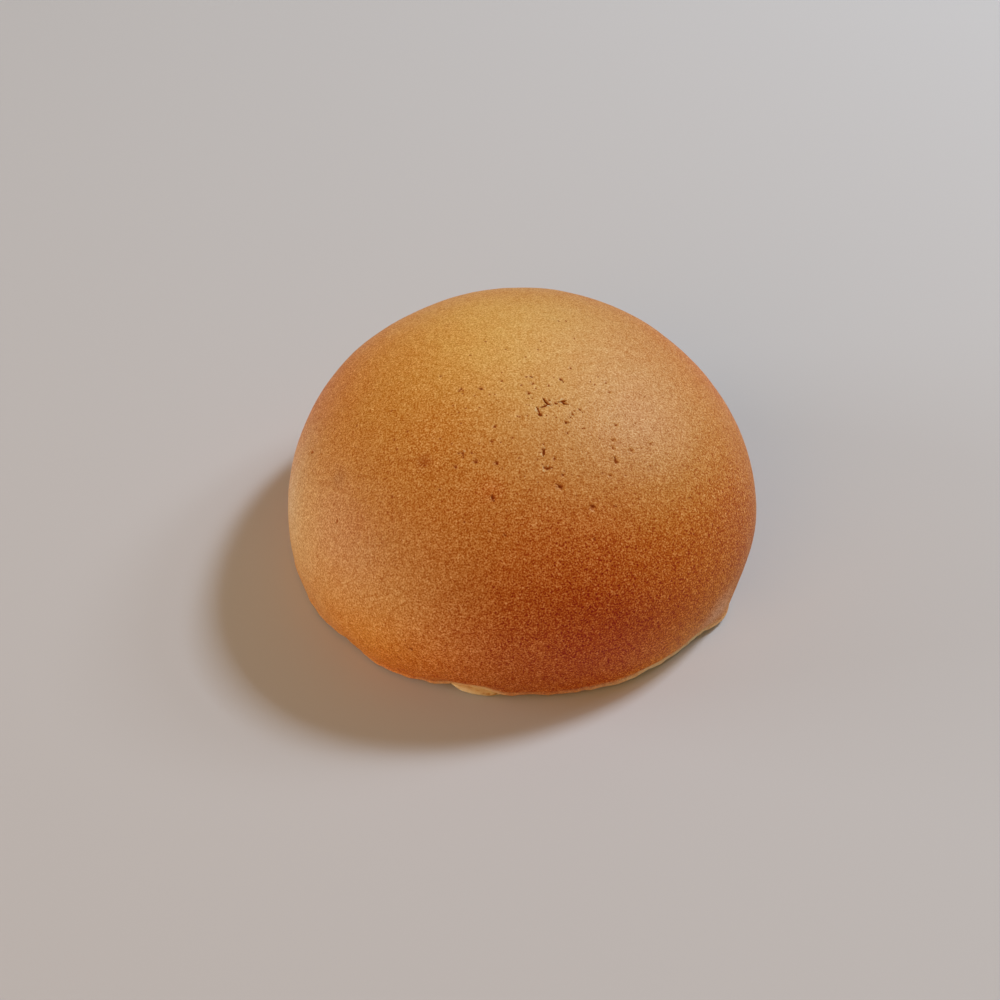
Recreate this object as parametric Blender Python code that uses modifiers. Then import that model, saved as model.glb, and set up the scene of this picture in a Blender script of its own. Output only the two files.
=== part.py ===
"""Coffee bun: a round, domed bread roll under a thin baked crust, 113 mm across and 55 mm tall.

Metres, +Z up. The bun stands on its flat sole at Z = 0, the middle of its outline is over the
origin, and the side that is seen faces -Y. Directions round the bun are in degrees from +X.
"""

import math

import bmesh
import bpy
from mathutils import Vector

MM = 0.001

# Driving dimensions
WIDTH = 113.2 * MM  # across the belly, the widest ring
HEIGHT = 54.9 * MM  # sole to crown
BELLY_HEIGHT = 14.6 * MM  # height of the widest ring
TUCK = 1.8 * MM  # how far the crust draws in between belly and rim
RIM_HEIGHT = 1.1 * MM  # where the crust starts to round over into its edge
EDGE_RADIUS = 0.6 * MM  # rounding of the crust's edge
SOLE_INSET = 3.6 * MM  # from the crust's edge in to the flat sole
LEAN = (2.0 * MM, 2.0 * MM)  # the crown sits this far off the middle of the sole
SEAT_SHIFT = (-0.90 * MM, -0.76 * MM)  # brings the outline's middle over the origin

# How the bun departs from a true round: lobes, swell at the widest ring, direction of a lobe
PLAN_WAVES = ((2, 0.95 * MM, -91), (3, 1.0 * MM, -14), (4, 0.4 * MM, -35))
TUCK_WAVES = ((1, 1.1 * MM, 103), (3, 1.3 * MM, -60))
DOME_WAVES = ((2, 1.0 * MM, -91), (3, 1.25 * MM, -51))

# Where the crust's edge swells out or draws in: direction, how far
EDGE_SWELLS = (
    (-157, -0.4 * MM),
    (-134, -0.8 * MM),
    (-123, 0.4 * MM),
    (-53, -0.45 * MM),
    (-42, -1.1 * MM),
    (-30, 1.75 * MM),
    (-20, -0.2 * MM),
    (18, -0.3 * MM),
    (52, 0.4 * MM),
    (83, -0.4 * MM),
    (117, 0.5 * MM),
    (158, -0.3 * MM),
)
EDGE_SWELL_SPREAD = 5  # degrees

# Where the back of the dome swells out or draws in: direction, how far
DOME_SWELLS = (
    (42, 0.6 * MM),
    (66, -0.5 * MM),
    (88, 0.5 * MM),
    (110, 0.6 * MM),
    (132, -0.9 * MM),
    (154, 0.75 * MM),
    (176, -0.75 * MM),
)
DOME_SWELL_SPREAD = 12  # degrees

# Where the crust's edge stands off the ground: direction, spread in degrees, how far
EDGE_LIFTS = (
    (-118, 11, 0.5 * MM),
    (-84, 9, 0.28 * MM),
    (-64, 10, 0.15 * MM),
    (-50, 15, 0.75 * MM),
)
EDGE_RIPPLES = ((7, 0.16 * MM, 12), (13, 0.1 * MM, -4))
LIFT_REACH = 6.0 * MM  # the lift fades out over this height

# A chip in the crust's edge at the front, with a scrap of pale crumb under it
CHIP_DIRECTION = -101.5
CHIP_HALF_ANGLE = 9.5
CHIP_LIFT = 1.2 * MM
CHIP_DENT = 0.85 * MM
SCRAP_DIRECTION = -99.4
SCRAP_SIZE = (11.6 * MM, 3.4 * MM, 2.1 * MM)  # along the edge, inwards, thick
SCRAP_RADIUS = 52.6 * MM
SCRAP_HEIGHT = 1.2 * MM

# Cracks in the crown: across, along the front-back line, length, width, direction in degrees
CRACKS = (
    (4.5, -16.2, 2.4, 0.7, -42),
    (3.9, -17.2, 1.8, 0.7, 32),
    (7.6, -15.8, 1.6, 0.7, 18),
    (8.3, -16.1, 1.8, 0.7, -25),
    (2.7, -18.8, 2.4, 0.7, -68),
    (3.7, -28.3, 1.6, 0.7, -86),
    (4.7, -31.6, 1.9, 0.8, 0),
    (19.1, -28.0, 1.6, 0.7, 90),
    (-13.4, -28.4, 1.8, 0.7, -50),
    (1.0, -9.0, 1.2, 0.8, 8),
    (7.6, -9.3, 1.4, 0.7, -35),
)
CRACK_DEPTH = 0.6 * MM

# Fineness of the turned form
TURN_STEPS = 120
DOME_RINGS = 20
TUCK_RINGS = 8
EDGE_RINGS = 3

CRUST_COLOUR = (0.50, 0.20, 0.055, 1.0)
WELD_DISTANCE = 0.001 * MM


def clear_scene():
    for obj in list(bpy.data.objects):
        bpy.data.objects.remove(obj, do_unlink=True)


def new_collection(name):
    collection = bpy.data.collections.new(name)
    bpy.context.scene.collection.children.link(collection)
    return collection


def crust_material():
    material = bpy.data.materials.new("crust")
    material.use_nodes = True
    shader = material.node_tree.nodes["Principled BSDF"]
    shader.inputs["Base Color"].default_value = CRUST_COLOUR
    shader.inputs["Roughness"].default_value = 0.55
    shader.inputs["Metallic"].default_value = 0.0
    return material


def smooth_step(value):
    value = min(max(value, 0.0), 1.0)
    return value * value * (3.0 - 2.0 * value)


def waves(table, angle):
    """Sum of the table's cosine lobes in one direction, in metres."""
    total = 0.0
    for lobes, swell, direction in table:
        total += swell * math.cos(lobes * (angle - math.radians(direction)))
    return total


def turned_away(angle, direction):
    """Degrees between an angle in radians and a direction in degrees, from -180 to 180."""
    return (math.degrees(angle) - direction + 180) % 360 - 180


def bell(value):
    """e^(-v^2 / 2)."""
    return math.exp(-0.5 * value * value)


def swells(table, spread, angle):
    """Sum of bell curves in one direction, one for each row of a table of directions and distances."""
    total = 0.0
    for direction, swell in table:
        total += swell * bell(turned_away(angle, direction) / spread)
    return total


def bun_profile():
    """Radius and height of the outer side, from the crown down to the middle of the sole."""
    belly = WIDTH / 2
    points = []
    for ring in range(DOME_RINGS):
        turn = math.pi / 2 * (1 - ring / DOME_RINGS)
        points.append((belly * math.cos(turn), BELLY_HEIGHT + (HEIGHT - BELLY_HEIGHT) * math.sin(turn)))
    for ring in range(TUCK_RINGS + 1):
        down = ring / TUCK_RINGS
        points.append((belly - TUCK * down**2, BELLY_HEIGHT - (BELLY_HEIGHT - RIM_HEIGHT) * down))
    rim = belly - TUCK
    for ring in range(1, EDGE_RINGS + 1):
        turn = math.pi / 2 * ring / EDGE_RINGS
        points.append(
            (rim - EDGE_RADIUS * (1 - math.cos(turn)), RIM_HEIGHT - EDGE_RADIUS * math.sin(turn))
        )
    points.append((rim - SOLE_INSET / 2, RIM_HEIGHT - EDGE_RADIUS * 0.9))
    points.append((rim - SOLE_INSET, 0.0))
    points.append((0.0, 0.0))
    return points


def turned_form(collection):
    """The round form before it is made uneven: the profile turned about Z by a Screw modifier."""
    mesh = bpy.data.meshes.new("profile")
    vertices = [(radius, 0.0, height) for radius, height in bun_profile()]
    mesh.from_pydata(vertices, [(i, i + 1) for i in range(len(vertices) - 1)], [])
    profile = bpy.data.objects.new("profile", mesh)
    collection.objects.link(profile)
    screw = profile.modifiers.new("turn", "SCREW")
    screw.axis = "Z"
    screw.steps = TURN_STEPS
    screw.render_steps = TURN_STEPS
    screw.use_merge_vertices = True
    screw.merge_threshold = WELD_DISTANCE
    evaluated = profile.evaluated_get(bpy.context.evaluated_depsgraph_get())
    turned = bpy.data.meshes.new_from_object(evaluated)
    bpy.data.objects.remove(profile, do_unlink=True)
    return turned


def edge_lift(angle):
    """How far the crust's edge is raised in one direction."""
    lift = waves(EDGE_RIPPLES, angle) + CHIP_LIFT * chip(angle)
    for direction, spread, far in EDGE_LIFTS:
        lift += far * bell(turned_away(angle, direction) / spread)
    return lift


def chip(angle):
    """1 in the middle of the chip in the crust's edge, falling to 0 at its ends."""
    return smooth_step(1.5 * (1 - abs(turned_away(angle, CHIP_DIRECTION)) / CHIP_HALF_ANGLE))


def uneven(point):
    """Moves one point of the turned form to where the real, hand-shaped bun has it."""
    radius = math.hypot(point.x, point.y)
    if radius < WELD_DISTANCE:
        angle = 0.0
    else:
        angle = math.atan2(point.y, point.x)
    height = point.z
    tuck = min(max((BELLY_HEIGHT - height) / (BELLY_HEIGHT - RIM_HEIGHT), 0.0), 1.0)
    dome = min(max((height - BELLY_HEIGHT) / (HEIGHT - BELLY_HEIGHT), 0.0), 1.0)
    swell = waves(PLAN_WAVES, angle)
    swell += waves(TUCK_WAVES, angle) * tuck**2
    swell += waves(DOME_WAVES, angle) * dome**2
    swell += swells(DOME_SWELLS, DOME_SWELL_SPREAD, angle) * dome**2
    swell += swells(EDGE_SWELLS, EDGE_SWELL_SPREAD, angle) * tuck**3
    swell -= CHIP_DENT * chip(angle) * smooth_step(3 * tuck - 2)
    sole = WIDTH / 2 - TUCK - SOLE_INSET
    raised = smooth_step(1 - height / LIFT_REACH) * smooth_step((radius - sole) / (SOLE_INSET / 2))
    scale = 1 + swell / (WIDTH / 2)
    lean = (height / HEIGHT) ** 2
    return Vector(
        (
            point.x * scale + LEAN[0] * lean + SEAT_SHIFT[0],
            point.y * scale + LEAN[1] * lean + SEAT_SHIFT[1],
            height + edge_lift(angle) * raised,
        )
    )


def bun_body(collection, tools):
    """The bun in one solid, with its sole as one flat face."""
    mesh = turned_form(tools)
    mesh.name = "bun"
    form = bmesh.new()
    form.from_mesh(mesh)
    bmesh.ops.remove_doubles(form, verts=form.verts, dist=WELD_DISTANCE)
    for vertex in form.verts:
        vertex.co = uneven(vertex.co)
    middle = [v for v in form.verts if v.co.z < WELD_DISTANCE and len(v.link_faces) == TURN_STEPS]
    bmesh.ops.dissolve_verts(form, verts=middle)
    bmesh.ops.recalc_face_normals(form, faces=form.faces)
    form.to_mesh(mesh)
    form.free()
    mesh.shade_smooth()
    mesh.set_sharp_from_angle(angle=math.radians(35))
    bun = bpy.data.objects.new("bun", mesh)
    collection.objects.link(bun)
    bun.data.materials.clear()
    bun.data.materials.append(crust_material())
    return bun


def ellipsoid(name, size, centre, direction, segments, rings, collection):
    """A sphere primitive stretched to a size, turned about Z and put in its place."""
    form = bmesh.new()
    bmesh.ops.create_uvsphere(form, u_segments=segments, v_segments=rings, radius=0.5)
    turn = math.radians(direction)
    for vertex in form.verts:
        along = vertex.co.x * size[0]
        across = vertex.co.y * size[1]
        vertex.co = Vector(
            (
                centre[0] + along * math.cos(turn) - across * math.sin(turn),
                centre[1] + along * math.sin(turn) + across * math.cos(turn),
                centre[2] + vertex.co.z * size[2],
            )
        )
    mesh = bpy.data.meshes.new(name)
    form.to_mesh(mesh)
    form.free()
    shape = bpy.data.objects.new(name, mesh)
    shape.hide_render = True
    shape.display_type = "WIRE"
    collection.objects.link(shape)
    return shape


def pale_scrap(tools):
    """The scrap of crumb that shows under the chip, tangent to the edge."""
    angle = math.radians(SCRAP_DIRECTION)
    centre = (
        SCRAP_RADIUS * math.cos(angle) + SEAT_SHIFT[0],
        SCRAP_RADIUS * math.sin(angle) + SEAT_SHIFT[1],
        SCRAP_HEIGHT,
    )
    return ellipsoid("pale_scrap", SCRAP_SIZE, centre, SCRAP_DIRECTION + 90, 20, 8, tools)


def crown_height(bun, across, along):
    """Height of the crust above one place of the sole."""
    start = Vector((across, along, 2 * HEIGHT))
    hit, place, _normal, _face = bun.ray_cast(start, Vector((0, 0, -1)))
    if not hit:
        raise RuntimeError("a crack is placed off the crown")
    return place.z


def crack_cutters(bun, cutters):
    """One slim ellipsoid for each crack, half sunk in the crust."""
    for number, (across, along, length, width, direction) in enumerate(CRACKS, 1):
        place = (across * MM, along * MM)
        centre = (*place, crown_height(bun, *place))
        size = (length * MM, width * MM, 2 * CRACK_DEPTH)
        ellipsoid(f"crack_{number:02d}", size, centre, direction, 10, 6, cutters)


def add_boolean(obj, name, operation, operand):
    """One exact Boolean with another object or with a whole collection."""
    boolean = obj.modifiers.new(name, "BOOLEAN")
    boolean.operation = operation
    boolean.solver = "EXACT"
    if isinstance(operand, bpy.types.Collection):
        boolean.operand_type = "COLLECTION"
        boolean.collection = operand
    else:
        boolean.object = operand


def build():
    clear_scene()
    parts = new_collection("coffee bun")
    tools = new_collection("tools")
    cracks = new_collection("crack cutters")
    bun = bun_body(parts, tools)
    bpy.context.view_layer.update()
    crack_cutters(bun, cracks)
    add_boolean(bun, "pale scrap", "UNION", pale_scrap(tools))
    add_boolean(bun, "cracks", "DIFFERENCE", cracks)


build()
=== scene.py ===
"""Coffee bun: its baked crust, its pale base and a torn scrap of crumb, on a plain studio floor.

Metres, +Z up. The bun stands at Z = 0 with the middle of its outline over the origin, and the side
that is seen faces -Y. Directions round the bun are in degrees from +X. Laid out as an add-on.
"""

import math

import bpy
import numpy as np
from bpy.props import FloatProperty, FloatVectorProperty, PointerProperty
from mathutils import Matrix, Vector


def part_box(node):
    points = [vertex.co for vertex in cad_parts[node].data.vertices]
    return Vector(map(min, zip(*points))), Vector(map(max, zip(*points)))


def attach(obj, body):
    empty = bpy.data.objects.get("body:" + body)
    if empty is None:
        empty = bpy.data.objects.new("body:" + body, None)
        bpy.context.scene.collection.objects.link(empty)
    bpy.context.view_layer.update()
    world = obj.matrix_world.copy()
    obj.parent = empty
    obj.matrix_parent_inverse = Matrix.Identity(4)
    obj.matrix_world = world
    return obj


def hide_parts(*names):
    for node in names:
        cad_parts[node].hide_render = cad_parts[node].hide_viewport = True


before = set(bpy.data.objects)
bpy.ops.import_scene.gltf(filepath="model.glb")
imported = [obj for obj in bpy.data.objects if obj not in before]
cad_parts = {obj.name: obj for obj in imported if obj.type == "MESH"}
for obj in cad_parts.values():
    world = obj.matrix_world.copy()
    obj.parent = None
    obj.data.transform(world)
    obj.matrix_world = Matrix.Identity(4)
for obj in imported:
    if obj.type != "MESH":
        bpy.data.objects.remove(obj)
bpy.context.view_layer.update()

bl_info = {
    "name": "Coffee bun",
    "version": (1, 0, 0),
    "blender": (4, 5, 0),
    "location": "3D View > Sidebar > Bun",
    "description": "Builds a coffee bun with a speckled, finely cracked crust on a studio floor",
    "category": "Add Mesh",
}

NODE = "bun"
MM = 0.001
TINY = 1e-12  # keeps a division off zero

# ---------- the form, as the solid has it

LEAN = (2.0 * MM, 2.0 * MM)  # the crown sits this far off the middle of the sole
SEAT_SHIFT = (-0.90 * MM, -0.76 * MM)  # brings the outline's middle over the origin

# How the bun departs from a true round, all the way up, towards the rim and towards the crown: lobes,
# swell, direction of a lobe
PLAN_WAVES = ((2, 0.95 * MM, -91), (3, 1.0 * MM, -14), (4, 0.4 * MM, -35))
TUCK_WAVES = ((1, 1.1 * MM, 103), (3, 1.3 * MM, -60))
DOME_WAVES = ((2, 1.0 * MM, -91), (3, 1.25 * MM, -51))

# Where the crust's edge swells out or draws in: direction, how far
EDGE_SWELLS = (
    (-157, -0.4 * MM),
    (-134, -0.8 * MM),
    (-123, 0.4 * MM),
    (-53, -0.45 * MM),
    (-42, -1.1 * MM),
    (-30, 1.75 * MM),
    (-20, -0.2 * MM),
    (18, -0.3 * MM),
    (52, 0.4 * MM),
    (83, -0.4 * MM),
    (117, 0.5 * MM),
    (158, -0.3 * MM),
)
EDGE_SWELL_SPREAD = 5  # degrees

# Where the back of the dome swells out or draws in: direction, how far
DOME_SWELLS = (
    (42, 0.6 * MM),
    (66, -0.5 * MM),
    (88, 0.5 * MM),
    (110, 0.6 * MM),
    (132, -0.9 * MM),
    (154, 0.75 * MM),
    (176, -0.75 * MM),
)
DOME_SWELL_SPREAD = 12  # degrees

# Where the crust's edge stands off the floor: direction, spread in degrees, how far
EDGE_LIFTS = (
    (-118, 11, 0.5 * MM),
    (-84, 9, 0.28 * MM),
    (-64, 10, 0.15 * MM),
    (-50, 15, 0.75 * MM),
)
EDGE_RIPPLES = ((7, 0.16 * MM, 12), (13, 0.1 * MM, -4))
LIFT_REACH = 6.0 * MM  # the lift fades out over this height

# The chip in the crust's edge at the front, and the scrap of pale crumb under it
CHIP_DIRECTION = -101.5
CHIP_HALF_ANGLE = 9.5
CHIP_LIFT = 1.2 * MM
CHIP_DENT = 0.85 * MM
SCRAP_DIRECTION = -99.4
SCRAP_SIZE = (11.6 * MM, 3.4 * MM, 2.1 * MM)  # along the edge, inwards, thick
SCRAP_RADIUS = 52.6 * MM
SCRAP_HEIGHT = 1.2 * MM
SCRAP_TILT = 0.6 * MM  # its left end stands this much higher, its right end as much lower

# ---------- the crust's fine relief

# Cracks in the crown: the places that each runs through, in mm, then its width and depth in mm
CRACKS = (
    (((3.5, -15.2), (4.5, -16.6), (5.4, -16.9)), 0.27, 0.45),
    (((4.7, -16.6), (3.9, -17.3), (3.1, -17.6)), 0.22, 0.35),
    (((6.9, -15.9), (7.7, -15.6), (8.4, -15.4)), 0.25, 0.40),
    (((7.5, -15.7), (8.1, -16.2), (9.0, -16.4)), 0.26, 0.40),
    (((2.2, -17.6), (2.6, -18.7), (3.0, -19.6)), 0.24, 0.35),
    (((2.6, -19.4), (3.3, -19.8)), 0.36, 0.50),
    (((3.8, -27.7), (3.7, -28.9)), 0.30, 0.42),
    (((3.3, -27.5), (3.9, -27.8)), 0.20, 0.28),
    (((3.9, -31.4), (4.7, -31.7), (5.6, -31.4)), 0.30, 0.45),
    (((19.1, -27.3), (19.1, -28.6)), 0.24, 0.40),
    (((18.8, -28.1), (19.5, -28.1)), 0.20, 0.30),
    (((-14.1, -27.9), (-13.3, -28.1), (-13.2, -29.2)), 0.22, 0.32),
    (((-6.9, -37.4), (-6.5, -38.1)), 0.28, 0.42),
    (((0.6, -9.0), (1.3, -8.9)), 0.30, 0.42),
    (((7.1, -9.0), (7.8, -9.2)), 0.27, 0.40),
    (((7.6, -9.3), (8.0, -9.9)), 0.20, 0.30),
    (((-14.6, -12.1), (-14.0, -11.4)), 0.26, 0.35),
    (((-10.2, -12.0), (-9.3, -12.3)), 0.26, 0.35),
)

# Pits in the crown: place in mm, then radius and depth in mm
PITS = (
    (6.2, -16.3, 0.26, 0.35),
    (1.4, -11.1, 0.28, 0.35),
    (0.5, -13.9, 0.34, 0.45),
    (4.7, -11.4, 0.22, 0.28),
    (-1.3, -11.5, 0.22, 0.25),
    (-5.4, -10.1, 0.26, 0.35),
    (-9.9, -12.1, 0.34, 0.45),
    (9.6, -5.2, 0.26, 0.30),
    (11.5, -17.4, 0.26, 0.30),
    (9.8, -18.9, 0.24, 0.30),
    (8.5, -21.1, 0.36, 0.45),
    (8.8, -23.4, 0.20, 0.22),
    (-6.6, -22.5, 0.26, 0.32),
    (-7.3, -25.8, 0.24, 0.28),
    (-6.0, -30.6, 0.34, 0.45),
    (-11.3, -28.1, 0.26, 0.30),
    (-10.7, -30.3, 0.36, 0.45),
    (-14.8, -31.1, 0.34, 0.40),
    (-18.1, -35.0, 0.26, 0.32),
    (6.1, -29.5, 0.22, 0.25),
    (7.8, -32.8, 0.26, 0.30),
    (7.3, -35.1, 0.42, 0.55),
    (14.3, -37.9, 0.42, 0.50),
    (18.7, -23.5, 0.28, 0.32),
    (18.5, -25.3, 0.26, 0.30),
    (18.0, -31.2, 0.26, 0.30),
    (19.3, -19.5, 0.28, 0.32),
    (22.7, -24.8, 0.34, 0.40),
    (26.9, -21.9, 0.26, 0.30),
    (17.5, -8.4, 0.26, 0.30),
    (18.2, -11.2, 0.22, 0.25),
    (-19.1, -6.4, 0.28, 0.32),
    (-48.0, -11.2, 0.55, 0.50),
    (-40.4, -32.8, 0.24, 0.28),
)

# Finer pits, scattered round a place in the crown; places and radii in mm
SCATTERED_PITS = 90
SCATTER_SEED = 7
SCATTER_MIDDLE = (2.0, -17.0)
SCATTER_SPREAD = 15.0
SCATTER_RADIUS = (0.12, 0.20)
SCATTER_DEPTH = (0.7, 1.2)  # shares of the radius

# How a crack or pit is cut: at 1/e of its depth it is this share of its width or radius wide, and its
# lip is this pale
CRACK_CUT = (0.92, 0.6)
PIT_CUT = (1.12, 0.2)
CRACK_ENDS = 0.45  # a crack's width at its ends, as a share of that in its middle
LEAST_CUT = 0.1  # the groove ends where it would be shallower than this share of its depth
CUT_LIP = (1.9, 0.5, 0.10)  # the raised lip's middle and spread, in widths, and its share of the depth
CUT_REACH = 2.0 * MM  # nothing is worked out further away than this

# Rows of noise, here and below: cell size, strength, seed
CUT_RAGGED = (0.35 * MM, 0.55, 3)
CUT_FLAKES = (0.9 * MM, 2.0, 4)
SOFT_RELIEF = (
    (17 * MM, 0.16 * MM, 11),
    (7 * MM, 0.07 * MM, 12),
    (2.6 * MM, 0.035 * MM, 13),
    (1.1 * MM, 0.018 * MM, 14),
)
SOFT_SINK = 0.1 * MM  # the relief lies this much lower, so that it stays inside the solid's size

# The crust's torn lower edge: scallops along it, and the thin bead that it ends in
SCALLOPS = ((3.4 * MM, 0.30 * MM, 21), (1.3 * MM, 0.15 * MM, 22))
SCALLOP_REACH = 2.4 * MM
BEAD = 0.16 * MM
BEAD_HEIGHT = 0.45 * MM
BEAD_RAGGED = (1.6 * MM, 0.5, 23)
LIP_BEAD = 0.30 * MM  # more of it where the lip shows pale
LIP_HEIGHT = 1.9 * MM
CLEARANCE = 0.05 * MM  # the crust stays this far off the floor
PALE_LIPS = ((-46, 8, 0.8), (-60, 12, 0.6), (-101, 6, 0.9))  # direction, spread, how pale the lip shows
LEAST_PALE_LIP = 0.2

# The crust behind its lip, hidden by the base: how far in from the rim, and height, in mm
INNER_CRUST = ((0.9, 0.85), (1.6, 1.1), (4.0, 1.8), (12.0, 3.0), (28.0, 3.6))
INNER_PEAK = 4.0 * MM

# The pale base under the crust
BASE_BULGE = (2.4 * MM, 1.3 * MM)  # outwards from the sole's edge, and height of its middle
BASE_TOP_TURN = 70.0  # degrees up round the bulge to where it ends, behind the crust
BASE_INSIDE = (0.4, 0.9)  # rows inside the crust, as shares of the sole's radius
BASE_INSIDE_HEIGHT = 5.0 * MM
BASE_PEAK = 6.0 * MM
WALL_RELIEF = ((2.4 * MM, 0.07 * MM, 33), (0.9 * MM, 0.042 * MM, 34))
WALL_SINK = 0.042 * MM
WALL_FOOT = 0.4 * MM  # the wall's relief fades in over this height
WALL_PORES = 0.5  # how strongly the pores colour the wall
SOLE_PORES = ((2.1 * MM, 1.0, 31), (1.0 * MM, 0.5, 32))
SOLE_PORE_START = 0.45  # a pore starts where its noise is over this
SOLE_PORE_EDGE = 0.3  # and is full where it is this much higher
SOLE_PORE_DEPTH = 0.35 * MM
SOLE_HOLLOWS = ((14 * MM, 0.10 * MM, 35), (1.2 * MM, 0.03 * MM, 36))
SOLE_HOLLOW = 0.13 * MM  # mean depth
SOLE_RING = 2.0 * MM  # pores and hollows fade in over this, inwards from the sole's edge
SOLE_BROWN_HEIGHT = 0.5 * MM  # the sole's colour ends at this height

# The scrap's relief
SCRAP_FIBRES = (0.5 * MM, 0.13 * MM, 41)
FIBRE_LENGTH = 5.0  # how many times the fibres are drawn out along the crust's edge
FIBRE_FLATNESS = 1.5  # and how many times flattened
SCRAP_GRAIN = (0.4 * MM, 0.07 * MM, 42)
SCRAP_SINK = 0.08 * MM
SCRAP_TIPS = 0.3  # it fades out towards the tips, where the section is this share of its middle

# Fineness of the grids
POLE = (0.08, -0.30)  # the grid's pole, as shares of the belly's radius: near the cracks
POLE_GATHER = 0.64  # the rows stand closer together at the pole, by this share
FRONT_GATHER = 0.3  # and the columns at the front
CRUST_COLUMNS = 448
DOME_ROWS = 172
TUCK_ROWS = 26
LIP_ROWS = 5
BASE_COLUMNS = 560
BASE_ROWS = 14
SOLE_ROWS = 56
SCRAP_GRID = (96, 28)  # steps along it, and round its section


# ---------- curves and noise


def smooth_step(value):
    """3t^2 - 2t^3 of a value held between 0 and 1."""
    value = np.clip(value, 0.0, 1.0)
    return value * value * (3.0 - 2.0 * value)


def bell(value):
    """e^(-v^2 / 2)."""
    return np.exp(-0.5 * value * value)


HASH_FACTORS = (374761393, 668265263, 1440662683)  # large odd numbers, one for each direction
HASH_SEED_FACTOR = 974634777
HASH_MIXER = 1274126177


def hashed(cell, seed):
    """A whole number for each lattice cell, mixed into a value from -1 to 1."""
    mixed = sum(cell[..., side] * factor for side, factor in enumerate(HASH_FACTORS))
    mixed = mixed + seed * HASH_SEED_FACTOR
    mixed = (mixed ^ (mixed >> 13)) * HASH_MIXER
    mixed = mixed ^ (mixed >> 16)
    return (mixed & 0xFFFF) / 32767.5 - 1.0


def noise(points, size, seed):
    """Values from -1 to 1 on a cubic lattice of that size, blended between corners by 3t^2 - 2t^3."""
    scaled = points / size
    cell = np.floor(scaled).astype(np.int64)
    part = smooth_step(scaled - cell)
    total = np.zeros(points.shape[:-1])
    for corner in range(8):
        offset = np.array([corner & 1, corner >> 1 & 1, corner >> 2 & 1])
        weight = np.prod(np.where(offset == 1, part, 1.0 - part), axis=-1)
        total += weight * hashed(cell + offset, seed)
    return total


def relief(points, *rows):
    """Sum of noise, with a row of cell size, strength and seed for each part of it."""
    return sum(strength * noise(points, size, seed) for size, strength, seed in rows)


# ---------- how the bun departs from a round


def waves(table, angle):
    """Sum over the table of swell * cos(lobes * (angle - direction))."""
    return sum(swell * np.cos(lobes * (angle - math.radians(turn))) for lobes, swell, turn in table)


def turned_away(angle, direction):
    """Degrees between angles in radians and a direction in degrees, from -180 to 180."""
    return (np.degrees(angle) - direction + 180.0) % 360.0 - 180.0


def swells(table, spread, angle):
    """Sum of bell curves, one for each row of a table of directions and distances."""
    return sum(far * bell(turned_away(angle, turn) / spread) for turn, far in table)


def chip(angle):
    """1 in the middle third of the chip in the crust's edge, falling to 0 at its ends."""
    return smooth_step(1.5 * (1.0 - np.abs(turned_away(angle, CHIP_DIRECTION)) / CHIP_HALF_ANGLE))


def edge_lift(angle):
    """How far the crust's edge is raised in each direction."""
    lift = sum(far * bell(turned_away(angle, turn) / spread) for turn, spread, far in EDGE_LIFTS)
    return lift + waves(EDGE_RIPPLES, angle) + CHIP_LIFT * chip(angle)


def uneven(form, angle, radius, height, foot=False):
    """Points of the true round form, moved to where the hand-shaped bun has them.

    x, y = radius * (1 + swell(angle, height) / belly radius) * (cos, sin) of the angle
           + lean * (height / bun height)^2 + shift;  z = height + lift(angle) near the edge.
    Swell = the waves and bell curves, less the chip's dent in the lowest third of the tuck.
    Points of the foot take no lift inside the sole's edge.
    """
    belly = form.width / 2.0
    tuck = np.clip((form.belly_height - height) / (form.belly_height - form.rim_height), 0.0, 1.0)
    dome = np.clip((height - form.belly_height) / (form.height - form.belly_height), 0.0, 1.0)
    swell = waves(PLAN_WAVES, angle) + waves(TUCK_WAVES, angle) * tuck**2
    swell = swell + (waves(DOME_WAVES, angle) + swells(DOME_SWELLS, DOME_SWELL_SPREAD, angle)) * dome**2
    swell = swell + swells(EDGE_SWELLS, EDGE_SWELL_SPREAD, angle) * tuck**3
    swell = swell - CHIP_DENT * chip(angle) * smooth_step(3.0 * tuck - 2.0)
    raised = smooth_step(1.0 - height / LIFT_REACH)
    if foot:
        sole = belly - form.tuck - form.sole_inset
        raised = raised * smooth_step((radius - sole) / (form.sole_inset / 2.0))
    scale = radius * (1.0 + swell / belly)
    lean = (height / form.height) ** 2
    return np.stack(
        (
            scale * np.cos(angle) + LEAN[0] * lean + SEAT_SHIFT[0],
            scale * np.sin(angle) + LEAN[1] * lean + SEAT_SHIFT[1],
            height + edge_lift(angle) * raised,
        ),
        axis=-1,
    )


def pale_lip(angle):
    """How pale the crust's torn lip shows in each direction: bell curves over a least share."""
    share = sum(much * bell(turned_away(angle, turn) / spread) for turn, spread, much in PALE_LIPS)
    return np.minimum(LEAST_PALE_LIP + share, 1.0)


def scallop(angle, radius):
    """Rise of the crust's torn edge along a circle of that radius: noise at two sizes."""
    ring = np.stack((radius * np.cos(angle), radius * np.sin(angle), 0.0 * angle), axis=-1)
    return relief(ring, *SCALLOPS)


# ---------- grids and meshes


def front_angles(columns):
    """Angles round the bun, once round, closer together at the front: a = u + gather * sin(u - 90)."""
    even = np.arange(columns) * 2.0 * math.pi / columns
    return even + FRONT_GATHER * np.sin(even - math.pi / 2.0)


def grid_normals(points):
    """Unit normals of a grid that closes along its columns, from its rows' and columns' slopes."""
    across = np.roll(points, -1, axis=1) - np.roll(points, 1, axis=1)
    down = np.gradient(points, axis=0)
    normal = np.cross(down, across)
    length = np.linalg.norm(normal, axis=-1, keepdims=True)
    return normal / np.maximum(length, TINY)


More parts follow.
